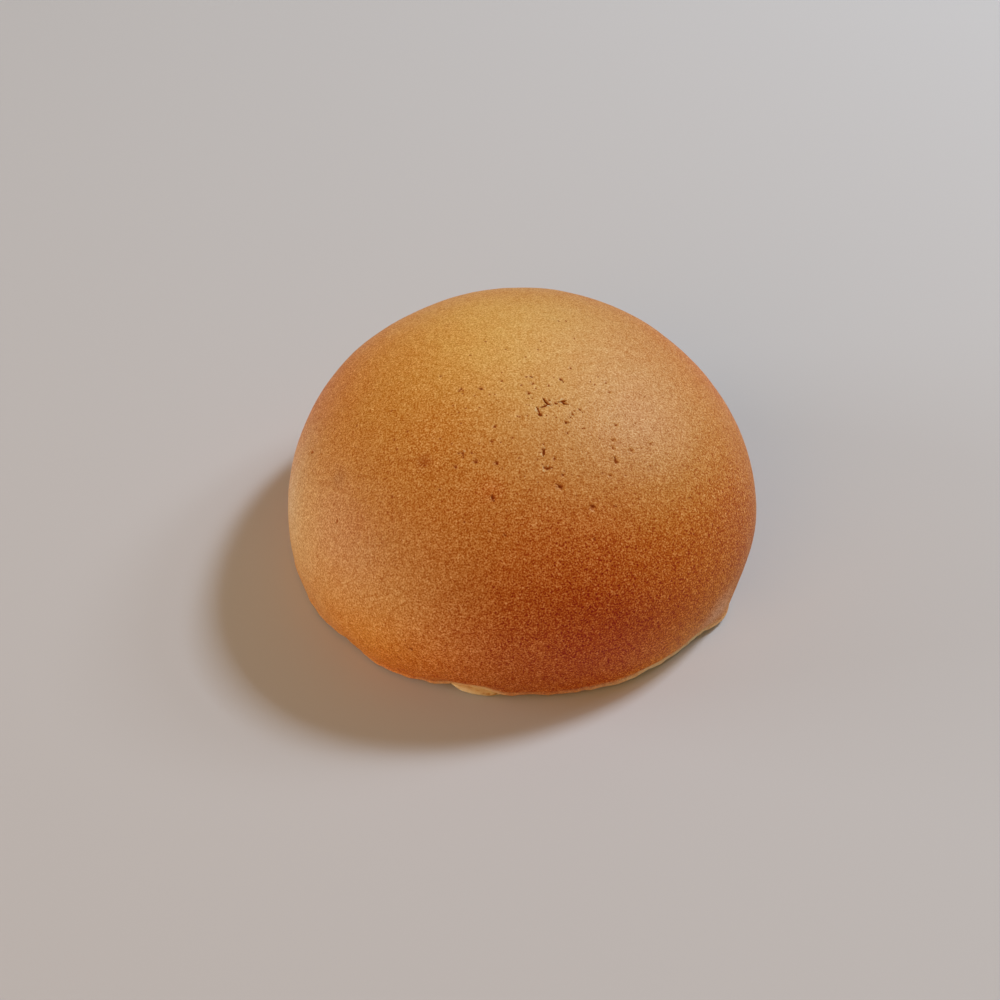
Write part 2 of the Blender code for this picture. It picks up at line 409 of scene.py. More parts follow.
def closed_mesh(name, points, top, bottom):
    """A mesh of a grid that closes along its columns, with a fan to one point at each end."""
    rows, columns, _ = points.shape
    index = np.arange(rows * columns).reshape(rows, columns)
    right = np.roll(index, -1, axis=1)
    quads = np.stack((index[:-1], index[1:], right[1:], right[:-1]), axis=-1).reshape(-1, 4)
    first = rows * columns
    caps = (
        np.stack((np.full(columns, first), index[0], right[0]), axis=-1),
        np.stack((np.full(columns, first + 1), right[-1], index[-1]), axis=-1),
    )
    vertices = np.concatenate((points.reshape(-1, 3), [top], [bottom]))
    mesh = bpy.data.meshes.new(name)
    mesh.vertices.add(len(vertices))
    mesh.vertices.foreach_set("co", vertices.astype(np.float32).ravel())
    loops = np.concatenate((quads.ravel(), caps[0].ravel(), caps[1].ravel()))
    starts = np.concatenate((np.arange(len(quads)) * 4, quads.size + np.arange(2 * columns) * 3))
    mesh.loops.add(len(loops))
    mesh.loops.foreach_set("vertex_index", loops.astype(np.int32))
    mesh.polygons.add(len(starts))
    mesh.polygons.foreach_set("loop_start", starts.astype(np.int32))
    mesh.update(calc_edges=True)
    mesh.validate()
    mesh.shade_smooth()
    return mesh


def set_attribute(mesh, name, values):
    """One float for each vertex; the two end points take the mean of the row beside them."""
    attribute = mesh.attributes.new(name, "FLOAT", "POINT")
    ends = [values[0].mean(), values[-1].mean()]
    attribute.data.foreach_set("value", np.concatenate((values.ravel(), ends)).astype(np.float32))


def add_object(name, data):
    """An object of the scene, at the origin."""
    made = bpy.data.objects.new(name, data)
    bpy.context.scene.collection.objects.link(made)
    return made


def add_piece(mesh, material):
    """A finished piece: at the origin, riding on the body, in place of the solid."""
    piece = add_object(mesh.name, mesh)
    mesh.materials.append(material)
    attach(piece, "root")
    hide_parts(NODE)


# ---------- the pieces' surfaces


def crust_outline(form):
    """Grid of the crust from the pole to its closed underside: angle, radius and height.

    Dome: plan place = sin(t) * (cos a, sin a) + pole * cos(t)^4 in shares of the belly's radius, with t
    from 0 at the pole to 90 degrees at the belly, so height = belly + rise * sqrt(1 - place^2).
    Tuck: radius = belly radius - tuck * s^2 with s = 1 - (1 - k)^1.5, and height falls with s.
    Lip: a quarter round. Behind it the crust turns up and in, hidden by the base.
    """
    belly = form.width / 2.0
    angle = front_angles(CRUST_COLUMNS)
    step = np.arange(1, DOME_ROWS + 1) / DOME_ROWS
    turn = (math.pi / 2.0 * ((1.0 - POLE_GATHER) * step + POLE_GATHER * step**2))[:, None]
    across = np.sin(turn) * np.cos(angle) + POLE[0] * np.cos(turn) ** 4
    along = np.sin(turn) * np.sin(angle) + POLE[1] * np.cos(turn) ** 4
    share = np.hypot(across, along)
    around = np.arctan2(along, across)
    rise = form.height - form.belly_height
    height = form.belly_height + rise * np.sqrt(np.maximum(1.0 - share**2, 0.0))
    down = 1.0 - (1.0 - np.arange(1, TUCK_ROWS + 1) / TUCK_ROWS)[:, None] ** 1.5
    rim = belly - form.tuck
    edge = (np.arange(1, LIP_ROWS + 1) / LIP_ROWS * math.pi / 2.0)[:, None]
    lip = form.lip_radius
    inner = np.array(INNER_CRUST) * MM
    radii = (
        share * belly,
        belly - form.tuck * down**2,
        rim - lip * (1.0 - np.cos(edge)),
        rim - inner[:, :1],
    )
    heights = (
        height,
        form.belly_height - (form.belly_height - form.rim_height) * down,
        form.rim_height - lip * np.sin(edge),
        inner[:, 1:],
    )
    rows = sum(len(part) for part in radii)
    grid_radius = np.concatenate([part * np.ones((1, CRUST_COLUMNS)) for part in radii])
    grid_height = np.concatenate([part * np.ones((1, CRUST_COLUMNS)) for part in heights])
    grid_angle = np.concatenate((around, np.tile(angle, (rows - DOME_ROWS, 1))))
    return grid_angle, grid_radius, grid_height


def crust_marks():
    """All strokes of the cracks and pits, in mm: start, end, width, depth, and the shares of the crack's
    length at its start and end. A pit is a stroke of no length, half way along."""
    marks = []
    for places, width, depth in CRACKS:
        shares = np.linspace(0.0, 1.0, len(places))
        strokes = zip(places, places[1:], shares, shares[1:])
        marks += [(start, end, width, depth, share, last) for start, end, share, last in strokes]
    for across, along, radius, depth in PITS:
        marks.append(((across, along), (across, along), radius, depth, 0.5, 0.5))
    draw = np.random.default_rng(SCATTER_SEED)
    for _ in range(SCATTERED_PITS):
        place = tuple(np.array(SCATTER_MIDDLE) + draw.normal(0.0, SCATTER_SPREAD, 2))
        radius = draw.uniform(*SCATTER_RADIUS)
        marks.append((place, place, radius, radius * draw.uniform(*SCATTER_DEPTH), 0.5, 0.5))
    return marks


def nearest_place(points, place):
    """The grid point whose plan position is nearest to a place given in mm."""
    off = (points[:, 0] - place[0] * MM) ** 2 + (points[:, 1] - place[1] * MM) ** 2
    return points[np.argmin(off)]


def pitted(points, rows):
    """Depth of the cracks and pits on the crown's rows, and how dark they are, or below 0 how pale.

    Depth = depth * e^(-(d / w)^2), with d the distance to the stroke, ragged by noise, and
    w = width * spread * (ends + (1 - ends) * sin(pi * s)) at share s of the crack's length. Outside it a
    lip rises by a share of the depth, as a bell curve of d / w, and is pale in flakes of noise, partly a
    painted highlight where the raised lip catches light.
    """
    crown = points[:rows].reshape(-1, 3)
    ragged = 1.0 + relief(crown, CUT_RAGGED)
    flaky = smooth_step(relief(crown, CUT_FLAKES))
    lip_middle, lip_spread, lip_rise = CUT_LIP
    sunk = np.zeros(len(crown))
    dark = np.zeros(len(crown))
    for start, end, width, depth, share, last_share in crust_marks():
        first = nearest_place(crown, start)
        last = nearest_place(crown, end)
        run = last - first
        near = np.linalg.norm(crown - (first + last) / 2.0, axis=1) < np.linalg.norm(run) + CUT_REACH
        close = crown[near]
        along = np.clip((close - first) @ run / max(run @ run, TINY), 0.0, 1.0)
        length_share = share + (last_share - share) * along
        taper = CRACK_ENDS + (1.0 - CRACK_ENDS) * np.sin(math.pi * length_share)
        far = np.linalg.norm(close - first - along[:, None] * run, axis=1)
        spread, paleness = PIT_CUT if start == end else CRACK_CUT
        far = far / (width * spread * MM * taper) * ragged[near]
        groove = np.exp(-(far**2))
        cut = groove > LEAST_CUT
        lip = bell((far - lip_middle) / lip_spread)
        sunk[near] = np.where(cut, np.maximum(sunk[near], depth * MM * groove), sunk[near])
        sunk[near] -= depth * MM * lip_rise * lip * (sunk[near] <= 0.0)
        dark[near] = np.where(cut, np.maximum(dark[near], groove), dark[near])
        dark[near] -= paleness * lip * flaky[near] * (dark[near] <= 0.0)
    return sunk.reshape(rows, -1), dark.reshape(rows, -1)


def crust_points(form):
    """The crust's points, with its soft unevenness, cracks, pits and torn edge, and its three masks.

    Along the normal: four sizes of noise less the depth of the pits, and a bead e^(-(h / bead)^2) on the
    lip. Upwards: the scallops, fading out over their reach.
    """
    angle, radius, height = crust_outline(form)
    points = uneven(form, angle, radius, height)
    normal = grid_normals(points)
    shown = DOME_ROWS + TUCK_ROWS + LIP_ROWS
    sunk, dark = pitted(points, DOME_ROWS)
    depth = np.zeros(height.shape)
    depth[:DOME_ROWS] = sunk
    pits = np.zeros(height.shape)
    pits[:DOME_ROWS] = dark
    above = height - form.rim_height
    pale = pale_lip(angle)
    bead = (BEAD + LIP_BEAD * pale) * np.exp(-((above / BEAD_HEIGHT) ** 2))
    out = relief(points, *SOFT_RELIEF) - SOFT_SINK - depth + bead * (1.0 + relief(points, BEAD_RAGGED))
    out[shown:] = 0.0
    torn = scallop(angle, form.width / 2.0) * smooth_step(1.0 - above / SCALLOP_REACH)
    points = points + normal * out[..., None]
    points[..., 2] = np.maximum(points[..., 2] + torn, CLEARANCE)
    edge = smooth_step(1.0 - above / (form.belly_height / 2.0))
    lip = smooth_step(1.0 - above / LIP_HEIGHT) * pale
    return points, pits, edge, lip


def base_points(form):
    """The base's points from inside the crust over its bulge to the middle of the sole, and its masks.

    Wall: radius = sole + bulge * cos t, height = middle + middle * sin t, with t falling to -90 degrees,
    moved along the normal by noise. Sole: flat at its outer ring, and inside it hollowed by noise and
    by pores of depth * step(noise).
    """
    sole = form.width / 2.0 - form.tuck - form.sole_inset
    bulge, middle = BASE_BULGE
    turn = np.radians(np.linspace(BASE_TOP_TURN, -90.0, BASE_ROWS))[:, None]
    inside = np.array(BASE_INSIDE)[:, None] * sole
    share = (1.0 - np.arange(1, SOLE_ROWS) / SOLE_ROWS)[:, None]
    inside_height = np.full(inside.shape, BASE_INSIDE_HEIGHT)
    radii = (inside, sole + bulge * np.cos(turn), sole * share)
    heights = (inside_height, middle * (1.0 + np.sin(turn)), np.zeros(share.shape))
    radius = np.concatenate(radii) * np.ones((1, BASE_COLUMNS))
    height = np.concatenate(heights) * np.ones((1, BASE_COLUMNS))
    angle = np.tile(front_angles(BASE_COLUMNS), (len(radius), 1))
    points = uneven(form, angle, radius, height, foot=True)
    normal = grid_normals(points)
    first = len(BASE_INSIDE)
    last = first + BASE_ROWS
    away = smooth_step((sole - radius) / SOLE_RING)
    away[:last] = 0.0
    wall = np.zeros(height.shape)
    wall[first:last] = smooth_step(height[first:last] / WALL_FOOT)
    pores = smooth_step((relief(points, *SOLE_PORES) - SOLE_PORE_START) / SOLE_PORE_EDGE)
    rough = relief(points, *WALL_RELIEF) - WALL_SINK
    points = points + normal * (rough * wall)[..., None]
    hollow = SOLE_HOLLOW + relief(points, *SOLE_HOLLOWS)
    points[..., 2] = np.maximum(points[..., 2] + away * (hollow + SOLE_PORE_DEPTH * pores), 0.0)
    brown = 1.0 - smooth_step(height / SOLE_BROWN_HEIGHT)
    return points, pores * np.maximum(away, WALL_PORES * wall), brown


def scrap_points():
    """The torn scrap of crumb: a lens bent along the crust's edge, closed round its section.

    With u from -1 to 1 along it and v round it: radius = middle + w * (1 - u^2)^0.6 * cos v,
    height = middle - tilt * u + h * (1 - u^2)^0.8 * sin v, moved along the normal by drawn-out and by
    fine noise.
    """
    steps, turns = SCRAP_GRID
    along = np.sin(np.linspace(-1.0, 1.0, steps + 2)[1:-1] * math.pi / 2.0)[:, None]
    around = (np.arange(turns) * 2.0 * math.pi / turns)[None, :]
    length, width, thick = (size / 2.0 for size in SCRAP_SIZE)
    open_share = 1.0 - along**2
    radius = SCRAP_RADIUS + width * open_share**0.6 * np.cos(around)
    angle = math.radians(SCRAP_DIRECTION) + along * length / SCRAP_RADIUS
    height = SCRAP_HEIGHT - SCRAP_TILT * along + thick * open_share**0.8 * np.sin(around)
    radius, angle, height = np.broadcast_arrays(radius, angle, height)
    points = np.stack(
        (radius * np.cos(angle) + SEAT_SHIFT[0], radius * np.sin(angle) + SEAT_SHIFT[1], height), axis=-1
    )
    drawn = np.stack((radius, angle * SCRAP_RADIUS / FIBRE_LENGTH, height * FIBRE_FLATNESS), axis=-1)
    rough = relief(drawn, SCRAP_FIBRES) + relief(points, SCRAP_GRAIN) - SCRAP_SINK
    ends = smooth_step(open_share / SCRAP_TIPS)
    points = points + grid_normals(points) * (rough * ends)[..., None]
    return points, [scrap_tip(-1.0), scrap_tip(1.0)]


def scrap_tip(side):
    """The end point of the scrap on its left (-1) or right (1)."""
    angle = math.radians(SCRAP_DIRECTION) + side * SCRAP_SIZE[0] / 2.0 / SCRAP_RADIUS
    across = SCRAP_RADIUS * math.cos(angle) + SEAT_SHIFT[0]
    along = SCRAP_RADIUS * math.sin(angle) + SEAT_SHIFT[1]
    return across, along, SCRAP_HEIGHT - SCRAP_TILT * side


# ---------- settings


# Each setting has a name, a description, its default and a unit or subtype


def length_setting(name, description, default):
    return FloatProperty(name=name, description=description, default=default, unit="LENGTH")


def power_setting(name, description, default):
    return FloatProperty(name=name, description=description, default=default, unit="POWER")


def share_setting(name, description, default):
    return FloatProperty(
        name=name, description=description, default=default, subtype="FACTOR", min=0.0, max=1.0
    )


def colour_setting(name, description, default):
    return FloatVectorProperty(name=name, description=description, default=default, subtype="COLOR")


class BunForm(bpy.types.PropertyGroup):
    """Sizes of the bun. All but the rounding of the lip are the solid's."""

    width: length_setting("Width", "Across the belly, the widest ring", 113.2 * MM)
    height: length_setting("Height", "Sole to crown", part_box(NODE)[1][2])
    belly_height: length_setting("Belly height", "Height of the widest ring", 14.6 * MM)
    tuck: length_setting("Tuck", "How far the crust draws in between belly and rim", 1.8 * MM)
    rim_height: length_setting("Rim height", "Where the crust starts to round over into its edge", 1.1 * MM)
    lip_radius: length_setting("Lip radius", "Rounding of the crust's lower edge", 0.4 * MM)
    sole_inset: length_setting("Sole inset", "From the crust's edge in to the flat sole", 3.6 * MM)


class BunLooks(bpy.types.PropertyGroup):
    """Colours and finish of the crust and the crumb."""

    straw: colour_setting("Straw", "Palest crust, at the crown", (0.67, 0.49, 0.17))
    ochre: colour_setting("Ochre", "Crust round the crown", (0.65, 0.37, 0.125))
    gold: colour_setting("Gold", "Golden crust", (0.612, 0.288, 0.084))
    amber: colour_setting("Amber", "Crust half way down", (0.592, 0.230, 0.050))
    chestnut: colour_setting("Chestnut", "Well baked crust", (0.58, 0.177, 0.031))
    brown: colour_setting("Brown", "The most baked crust", (0.533, 0.103, 0.005))
    # A painted rosy sheen: a reflection low on the right of the crust
    painted_rosy_sheen: colour_setting("Rosy", "Patch low on the right of the crust", (0.76, 0.37, 0.17))
    burnt: colour_setting("Burnt", "Small burnt specks in the crust", (0.24, 0.07, 0.012))
    # Darker crust in cracks and pits, with painted shade in them
    pit: colour_setting("Pit", "Inside of cracks and pits", (0.32, 0.080, 0.010))
    crumb: colour_setting("Crumb", "Pale torn crumb", (0.79, 0.69, 0.42))
    fibre: colour_setting("Fibre", "Fibres in the torn crumb", (0.52, 0.28, 0.08))
    wall: colour_setting("Wall", "Clouds on the pale wall of the base", (0.66, 0.38, 0.12))
    sole: colour_setting("Sole", "Baked underside", (0.52, 0.28, 0.10))
    sole_clouds: colour_setting("Sole clouds", "Browner clouds on the underside", (0.40, 0.17, 0.05))
    pore: colour_setting("Pore", "Inside of the underside's pores", (0.72, 0.48, 0.20))
    grain: share_setting("Grain", "Strength of the crust's fine speckle", 1.0)
    roughness: share_setting("Roughness", "Roughness of the crust", 0.5)
    gloss: share_setting("Gloss", "Specular level of the crust", 0.2)


class BunStage(bpy.types.PropertyGroup):
    """The floor and the light."""

    floor: colour_setting("Floor", "Colour of the pale floor", (0.56, 0.60, 0.66))
    key: power_setting("Key light", "Strength of the key light", 13.5)
    second: power_setting("Second light", "Strength of the lower light", 3.9)
    left_screen: power_setting("Left screen", "Strength of the low light on the left", 12.7)
    front_screen: power_setting("Front screen", "Strength of the warm light at the front", 8.3)
    fill: share_setting("Fill", "Strength of the light from all round", 0.25)
    daylight: colour_setting("Daylight", "Colour of the key light", (0.95, 1.0, 1.05))
    warmth: colour_setting("Warmth", "Colour of the fill", (1.0, 0.75, 0.45))
    backdrop: colour_setting("Backdrop", "Colour behind the floor", (0.50, 0.48, 0.47))
    glow: colour_setting("Glow", "Colour of the front screen", (1.0, 0.42, 0.10))


# ---------- materials

PALE_MIDDLE = (20.4 * MM, 20.1 * MM, 37.6 * MM)  # the bake rises away from here
PALE_BAKE = -0.055  # the bake there
BAKE_RISE = 16.0  # per metre
BAKE_PATCHES = (  # middle and reach in mm, bake there
    ((16.2, -42.7, 19.4), 34, 0.57),  # the browned front
    ((58.6, -33.4, 29.4), 39, 0.59),  # right of it
    ((36.3, 30.6, 24.1), 70, 0.97),  # the back right
    ((-87.6, -71.2, 22.8), 95, -1.68),  # the fair left side
    ((-6.9, -36.2, 45.0), 4.5, 0.16),  # a small browner patch
)
TINTS_AND_PAINTED_SHEENS = (  # middle and reach in mm, what the colour is multiplied by there; some are painted sheen and painted reflection
    ((-55.5, -18.0, 19.7), 30, (1.07, 1.50, 2.34)),  # pale bloom with a painted reflection on the left
    ((-9.6, -10.7, 40.4), 71, (0.79, 0.87, 0.44)),  # gold left of the crown
    ((10.9, -16.6, 50.9), 52, (1.19, 1.27, 2.34)),  # painted pinkish sheen on the crown
    ((40.3, -38.2, 13.7), 70, (0.86, 0.92, 0.43)),  # glowing right side
    ((-25.3, -53.3, 24.3), 26, (1.06, 1.37, 2.34)),  # painted sheen at the front left
    ((35.9, -43.5, 10.7), 42, (1.08, 0.87, 0.43)),  # golden edge on the right
    ((-28.1, -50.3, 4.3), 30, (1.15, 1.05, 0.43)),  # and on the left
    ((-10.5, 5.1, 50.6), 46, (1.20, 1.22, 1.21)),  # fairer behind the crown
    ((38.2, -39.2, 3.1), 31, (1.32, 1.65, 0.43)),  # painted sheen low on the right
    ((-55.5, -2.0, 21.0), 28, (1.02, 1.30, 2.35)),  # painted rosy reflection on the left edge
    ((-21.6, -28.5, 45.9), 3.0, (0.78, 0.61, 0.42)),  # small browner spots
    ((-40.3, -24.5, 37.1), 3.4, (0.84, 0.76, 0.64)),
)
# Lighter and more orange low on the crust: partly less baked, partly painted bounce light from the floor
EDGE_TINT = (1.14, 1.14, 0.75)
EDGE_TINT_POWER = 1.5  # the tint follows this power of the edge's mask
PAINTED_ROSY_SHEEN_PATCH = ((46.0, -34.0, 7.0), 9)  # middle and reach of a painted rosy sheen, in mm
BAKE_MOTTLES = ((24 * MM, 0.20, 1.0), (6 * MM, 0.15, 2.0))  # cell size, strength, seed
BAKE_RANGE = (0.3, 1.6)
BAKE_STOPS = (0.154, 0.308, 0.462, 0.654)  # shares of the range, for the colours between its ends

# Noises of the finishes: cell size, seed and, where it isn't 2, detail
GRAIN = (0.36 * MM, 5.0, 1.0)
BLOTCHES = (1.5 * MM, 6.0)
SPECKS = (0.38 * MM, 8.0, 1.0)
WALL_CLOUDS = (5 * MM, 11.0)
BASE_GRAIN = (0.7 * MM, 12.0)
SOLE_CLOUDS = (16 * MM, 13.0)
FIBRES = (0.7 * MM, 15.0)

# The crust's finish. Where a row has four values, the first two are the bounds of a noise, a mask or
# the bake's share, and the last two what they turn into.
TONE_BLOTCHES = 0.22  # how much of the speckle's tone comes from the blotches
TONE_STRENGTH = (0.05, 0.80, 0.31, 0.82)  # the speckle's strength by the bake
TONE_TINT = (1.0, 1.42, 1.6)  # its step in red, green and blue
LEAST_SEEN = (0.05, 0.05, 0.05)  # what its darkest grains keep of the colour, to the eye
EYE_GAMMA = 2.2
SPECK_SHARE = (0.14, 0.28, 0.0, 0.35)  # how burnt the specks are, by their noise
SPECK_FADE = (0.1, 0.45, 1.0, 0.2)  # and how much of them is left, by the bake
LIP_SHARE = (-0.2, 0.1, 0.6, 1.0)  # how pale the torn lip is, by the blotches
FLAKE_SHARE = (-0.05, -0.5, 0.0, 0.6)  # how pale the lips of cracks and pits are, by their mask: pale flakes, partly a painted highlight on the raised lips
PIT_RANGE = (0.1, 0.8)  # the mask's values between which a pit goes dark: darker crust, with painted shade in the pit
PIT_ROUGHER = 0.5  # added to the roughness in a pit
GRAIN_ROUGHER = -0.3  # and by the grain
BUMP_BLOTCHES = 0.8  # how high the blotches or clouds stand, as a share of the grain
CRUST_BUMP = 0.09 * MM

# The finish of the base, the scrap and the floor
BASE_FINISH = (0.7, 0.25)  # roughness and gloss
WALL_RANGE = (-0.15, 0.15)  # the clouds' noise between which one colour goes over to the other
SOLE_RANGE = (-0.18, 0.18)
BASE_SHADE = 0.9  # how much lighter or darker the base's grain makes it
PORE_SHARE = 0.5
BASE_BUMP = 0.2 * MM
SCRAP_FINISH = (0.65, 0.25)
FIBRE_SCALE = (0.3, 1.0, 1.6)
FIBRE_RANGE = (0.02, 0.2)
SCRAP_BUMP = 0.15 * MM
FLOOR_FINISH = (0.9, 0.1)


def add_node(tree, kind, inputs=(), **settings):
    """A shader node with its settings; each named input gets a link from a socket, or a value."""
    made = tree.nodes.new("ShaderNode" + kind)
    for name, value in settings.items():
        setattr(made, name, value)
    for name, value in dict(inputs).items():
        if isinstance(value, bpy.types.NodeSocket):
            tree.links.new(value, made.inputs[name])
        else:
            made.inputs[name].default_value = value
    return made


def combine(tree, operation, first, second=0.0, third=0.0):
    """One sum, product or other operation on two or three numbers."""
    return add_node(tree, "Math", {0: first, 1: second, 2: third}, operation=operation).outputs[0]


def ranged(tree, value, low, high, start=0.0, end=1.0, smooth=True):
    """A value between low and high brought to between start and end, smoothly or evenly, and held."""
    kind = "SMOOTHSTEP" if smooth else "LINEAR"
    inputs = {"Value": value, "From Min": low, "From Max": high, "To Min": start, "To Max": end}
    return add_node(tree, "MapRange", inputs, interpolation_type=kind).outputs["Result"]


def distance(tree, place, middle):
    """Distance from a point."""
    return add_node(tree, "VectorMath", {0: place, 1: middle}, operation="DISTANCE").outputs["Value"]


def falloff(tree, place, middle, reach):
    """1 at a point, falling smoothly to 0 at its reach, both given in mm."""
    middle = tuple(value * MM for value in middle)
    return ranged(tree, distance(tree, place, middle), 0.0, reach * MM, 1.0, 0.0)


def mottle(tree, place, size, seed, detail=2.0):
    """Noise of that cell size, from about -0.5 to 0.5."""
    inputs = {"Vector": place, "W": seed, "Scale": 1.0 / size, "Detail": detail}
    made = add_node(tree, "TexNoise", inputs, noise_dimensions="4D")
    return combine(tree, "SUBTRACT", made.outputs[0], 0.5)


def blend(tree, share, first, second):
    """The first colour going over to the second by a share."""
    inputs = {"Factor": share, 6: first, 7: second}
    return add_node(tree, "Mix", inputs, data_type="RGBA").outputs[2]


def mask(tree, name):
    """One of the masks that a piece carries."""
    return add_node(tree, "Attribute", attribute_name=name).outputs["Fac"]


def rgba(colour):
    """A colour setting with full cover."""
    return (*colour, 1.0)


def new_material(name, roughness, gloss):
    """A material and its shader."""
    material = bpy.data.materials.new(name)
    material.use_nodes = True
    shader = material.node_tree.nodes["Principled BSDF"]
    shader.inputs["Roughness"].default_value = roughness
    shader.inputs["Specular IOR Level"].default_value = gloss
    return material, shader


def start_finish(name, roughness, gloss):
    """A material, its node tree, its shader and the object's own coordinates."""
    material, shader = new_material(name, roughness, gloss)
    tree = material.node_tree
    return material, tree, shader, add_node(tree, "TexCoord").outputs["Object"]


def emboss(tree, shader, height, depth):
    """Bump from a height of about -0.5 to 0.5 that stands for that depth."""
    bump = add_node(tree, "Bump", {"Height": height, "Distance": depth, "Strength": 1.0})
    tree.links.new(bump.outputs["Normal"], shader.inputs["Normal"])


def tinted(tree, share, colour, tint):
    """The colour multiplied by a tint, by a share."""
    inputs = {"Factor": share, 6: colour, 7: rgba(tint)}
    return add_node(tree, "Mix", inputs, data_type="RGBA", blend_type="MULTIPLY").outputs[2]


def combine_vectors(tree, operation, first, second):
    """One sum, product or other operation on two vectors or, for SCALE, a vector and a number."""
    second_input = "Scale" if operation == "SCALE" else 1
    made = add_node(tree, "VectorMath", {0: first, second_input: second}, operation=operation)
    return made.outputs["Vector"]


def speckled(tree, colour, tone):
    """The colour made lighter or darker by an even step to the eye: (c^(1/2.2) + tone * tint)^2.2."""
    seen = add_node(tree, "Gamma", {"Color": colour, "Gamma": 1.0 / EYE_GAMMA}).outputs["Color"]
    seen = combine_vectors(tree, "ADD", seen, combine_vectors(tree, "SCALE", TONE_TINT, tone))
    seen = combine_vectors(tree, "MAXIMUM", seen, LEAST_SEEN)
    return add_node(tree, "Gamma", {"Color": seen, "Gamma": EYE_GAMMA}).outputs["Color"]


def baked_colour(tree, place, looks):
    """Colour of the crust by how far it is baked, and that share: from its distance to the pale middle,
    the patches and two mottles, then tinted by place, some tints being painted sheen and painted
    reflection."""
    bake = combine(tree, "MULTIPLY_ADD", distance(tree, place, PALE_MIDDLE), BAKE_RISE, PALE_BAKE)
    for middle, reach, strength in BAKE_PATCHES:
        bake = combine(tree, "MULTIPLY_ADD", falloff(tree, place, middle, reach), strength, bake)
    for size, strength, seed in BAKE_MOTTLES:
        bake = combine(tree, "MULTIPLY_ADD", mottle(tree, place, size, seed), strength, bake)
    share = ranged(tree, bake, *BAKE_RANGE, smooth=False)
    ramp = add_node(tree, "ValToRGB", {"Fac": share})
    colours = (looks.straw, looks.ochre, looks.gold, looks.amber, looks.chestnut, looks.brown)
    elements = ramp.color_ramp.elements
    for position in BAKE_STOPS:
        elements.new(position)
    for stop, colour in zip(elements, colours):
        stop.color = rgba(colour)
    colour = ramp.outputs["Color"]
    # Tints by place, painted sheens and reflections among them
    for middle, reach, tint in TINTS_AND_PAINTED_SHEENS:
        colour = tinted(tree, falloff(tree, place, middle, reach), colour, tint)
    return colour, share


def crust_finish(looks):
    """Thin baked crust: bake from straw to brown with painted sheens and reflections among its tints, fine
    light and dark speckle, dark pits with painted shade, pale torn lip.
    """
    material, tree, shader, place = start_finish("baked_crust", looks.roughness, looks.gloss)
    grain = mottle(tree, place, *GRAIN)
    blotches = mottle(tree, place, *BLOTCHES)
    colour, share = baked_colour(tree, place, looks)
    # Less baked and painted bounce light towards the lower edge
    edge = combine(tree, "POWER", mask(tree, "edge"), EDGE_TINT_POWER)
    colour = tinted(tree, edge, colour, EDGE_TINT)
    # A painted rosy sheen low on the right
    colour = blend(tree, falloff(tree, place, *PAINTED_ROSY_SHEEN_PATCH), colour, rgba(looks.painted_rosy_sheen))
    low, high, start, end = SPECK_SHARE
    burnt = ranged(tree, mottle(tree, place, *SPECKS), low, high, start, end * looks.grain)
    burnt = combine(tree, "MULTIPLY", burnt, ranged(tree, share, *SPECK_FADE))
    colour = blend(tree, burnt, colour, rgba(looks.burnt))
    low, high, start, end = TONE_STRENGTH
    strength = ranged(tree, share, low, high, start * looks.grain, end * looks.grain, smooth=False)
    tone = combine(tree, "MULTIPLY_ADD", blotches, TONE_BLOTCHES, grain)
    colour = speckled(tree, colour, combine(tree, "MULTIPLY", tone, strength))
    torn = combine(tree, "MULTIPLY", mask(tree, "lip"), ranged(tree, blotches, *LIP_SHARE))
    colour = blend(tree, torn, colour, rgba(looks.crumb))
    # Pale flakes and a painted highlight on the raised lips of cracks and pits
    pits = mask(tree, "pits")
    colour = blend(tree, ranged(tree, pits, *FLAKE_SHARE), colour, rgba(looks.crumb))
    # Darker crust and painted shade in the cracks and pits
    dark = ranged(tree, pits, *PIT_RANGE)
    colour = blend(tree, dark, colour, rgba(looks.pit))
    tree.links.new(colour, shader.inputs["Base Color"])
    rough = combine(tree, "MULTIPLY_ADD", dark, PIT_ROUGHER, looks.roughness)
    rough = combine(tree, "MULTIPLY_ADD", grain, GRAIN_ROUGHER, rough)
    tree.links.new(rough, shader.inputs["Roughness"])
    emboss(tree, shader, combine(tree, "MULTIPLY_ADD", blotches, BUMP_BLOTCHES, grain), CRUST_BUMP)
    return material


def base_finish(looks):
    """Pale soft wall under the crust, going over to the golden brown, porous sole."""
    material, tree, shader, place = start_finish("pale_base", *BASE_FINISH)
    clouds = mottle(tree, place, *WALL_CLOUDS)
    grain = mottle(tree, place, *BASE_GRAIN)
    wall = blend(tree, ranged(tree, clouds, *WALL_RANGE), rgba(looks.crumb), rgba(looks.wall))
    brown = ranged(tree, mottle(tree, place, *SOLE_CLOUDS), *SOLE_RANGE)
    sole = blend(tree, brown, rgba(looks.sole), rgba(looks.sole_clouds))
    colour = blend(tree, mask(tree, "sole"), wall, sole)
    colour = combine_vectors(tree, "SCALE", colour, combine(tree, "MULTIPLY_ADD", grain, BASE_SHADE, 1.0))
    pores = combine(tree, "MULTIPLY", mask(tree, "pores"), PORE_SHARE)
    colour = blend(tree, pores, colour, rgba(looks.pore))
    tree.links.new(colour, shader.inputs["Base Color"])
    emboss(tree, shader, combine(tree, "MULTIPLY_ADD", clouds, BUMP_BLOTCHES, grain), BASE_BUMP)
    return material


